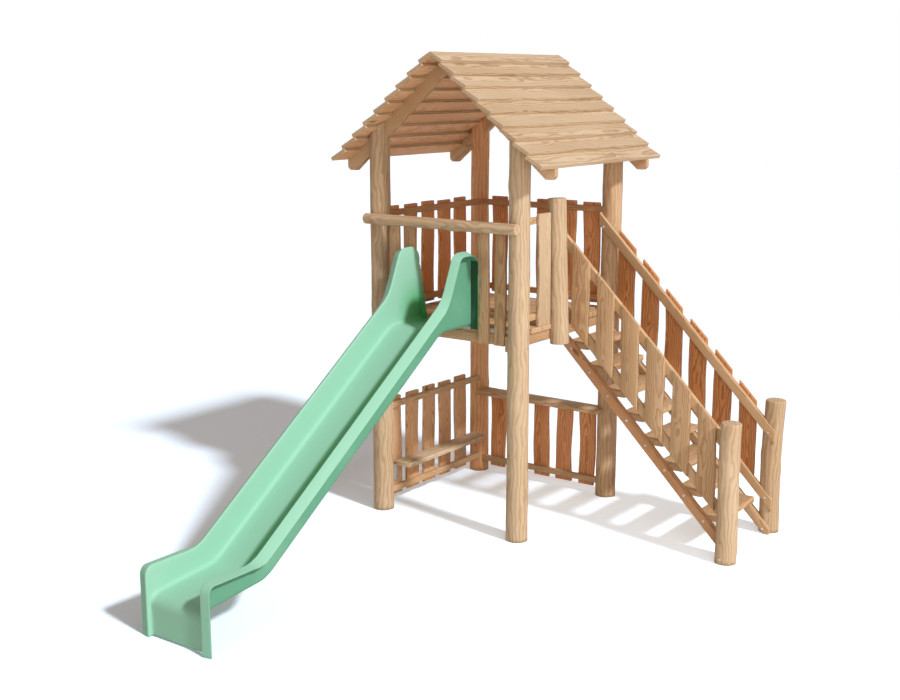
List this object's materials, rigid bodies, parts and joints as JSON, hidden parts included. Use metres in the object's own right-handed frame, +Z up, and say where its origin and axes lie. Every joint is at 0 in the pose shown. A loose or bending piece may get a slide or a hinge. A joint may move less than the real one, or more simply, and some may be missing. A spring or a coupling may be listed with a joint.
{
  "type": "play tower with slide",
  "caption": "Roofed timber play tower on round log posts, with a railed deck, a side stair with pickets, a bench and counter under the deck, and a moulded slide with hooded cheeks.",
  "frame": {"origin": "centre of the front left post's foot, on the level floor", "axes": "+X from the front left post to the front right post, towards the stair; +Y from the front posts to the rear posts, away from the slide; +Z up"},
  "size_m": [2.974, 4.102, 3.3829],
  "materials": {
    "peeled_log": "peeled and weathered",
    "sawn_wood": "sawn and planed",
    "deck_wood": "planed boards",
    "wavy_board_wood": "planed face with natural edges",
    "stair_wood": "sawn and planed",
    "roof_wood": "sawn boards, lapped",
    "galvanised_steel": "hot-dip galvanised",
    "slide_plastic": "moulded, satin"
  },
  "bodies": {
    "root": {"post_front_left": "peeled_log", "post_front_right": "peeled_log", "post_rear_left": "peeled_log", "post_rear_right": "peeled_log", "newel_near": "peeled_log", "newel_far": "peeled_log", "newel_top": "peeled_log", "handlebar": "peeled_log", "deck_beam_front": "sawn_wood", "deck_beam_rear": "sawn_wood", "deck_beam_left": "sawn_wood", "deck_beam_right": "sawn_wood", "deck_boards": "deck_wood", "deck_edge_strip": "galvanised_steel", "left_rails_upper": "sawn_wood", "left_rails_lower": "sawn_wood", "left_boards_upper": "wavy_board_wood", "left_boards_lower": "wavy_board_wood", "rear_rails_upper": "sawn_wood", "rear_rail_lower": "sawn_wood", "rear_boards_upper": "wavy_board_wood", "rear_boards_lower": "wavy_board_wood", "front_rail": "sawn_wood", "front_boards_left": "wavy_board_wood", "front_boards_right": "wavy_board_wood", "short_rails": "sawn_wood", "short_board": "wavy_board_wood", "counter": "sawn_wood", "bench_seat": "sawn_wood", "bench_brackets": "galvanised_steel", "stair_stringer_near": "stair_wood", "stair_stringer_far": "stair_wood", "stair_rails_near": "stair_wood", "stair_rails_far": "stair_wood", "stair_pickets_near": "stair_wood", "stair_pickets_far": "stair_wood", "stair_treads": "stair_wood", "rafter_front_left": "sawn_wood", "rafter_front_right": "sawn_wood", "rafter_rear_left": "sawn_wood", "rafter_rear_right": "sawn_wood", "roof_boards_left": "roof_wood", "roof_boards_right": "roof_wood", "slide": "slide_plastic"}
  },
  "joints": []
}
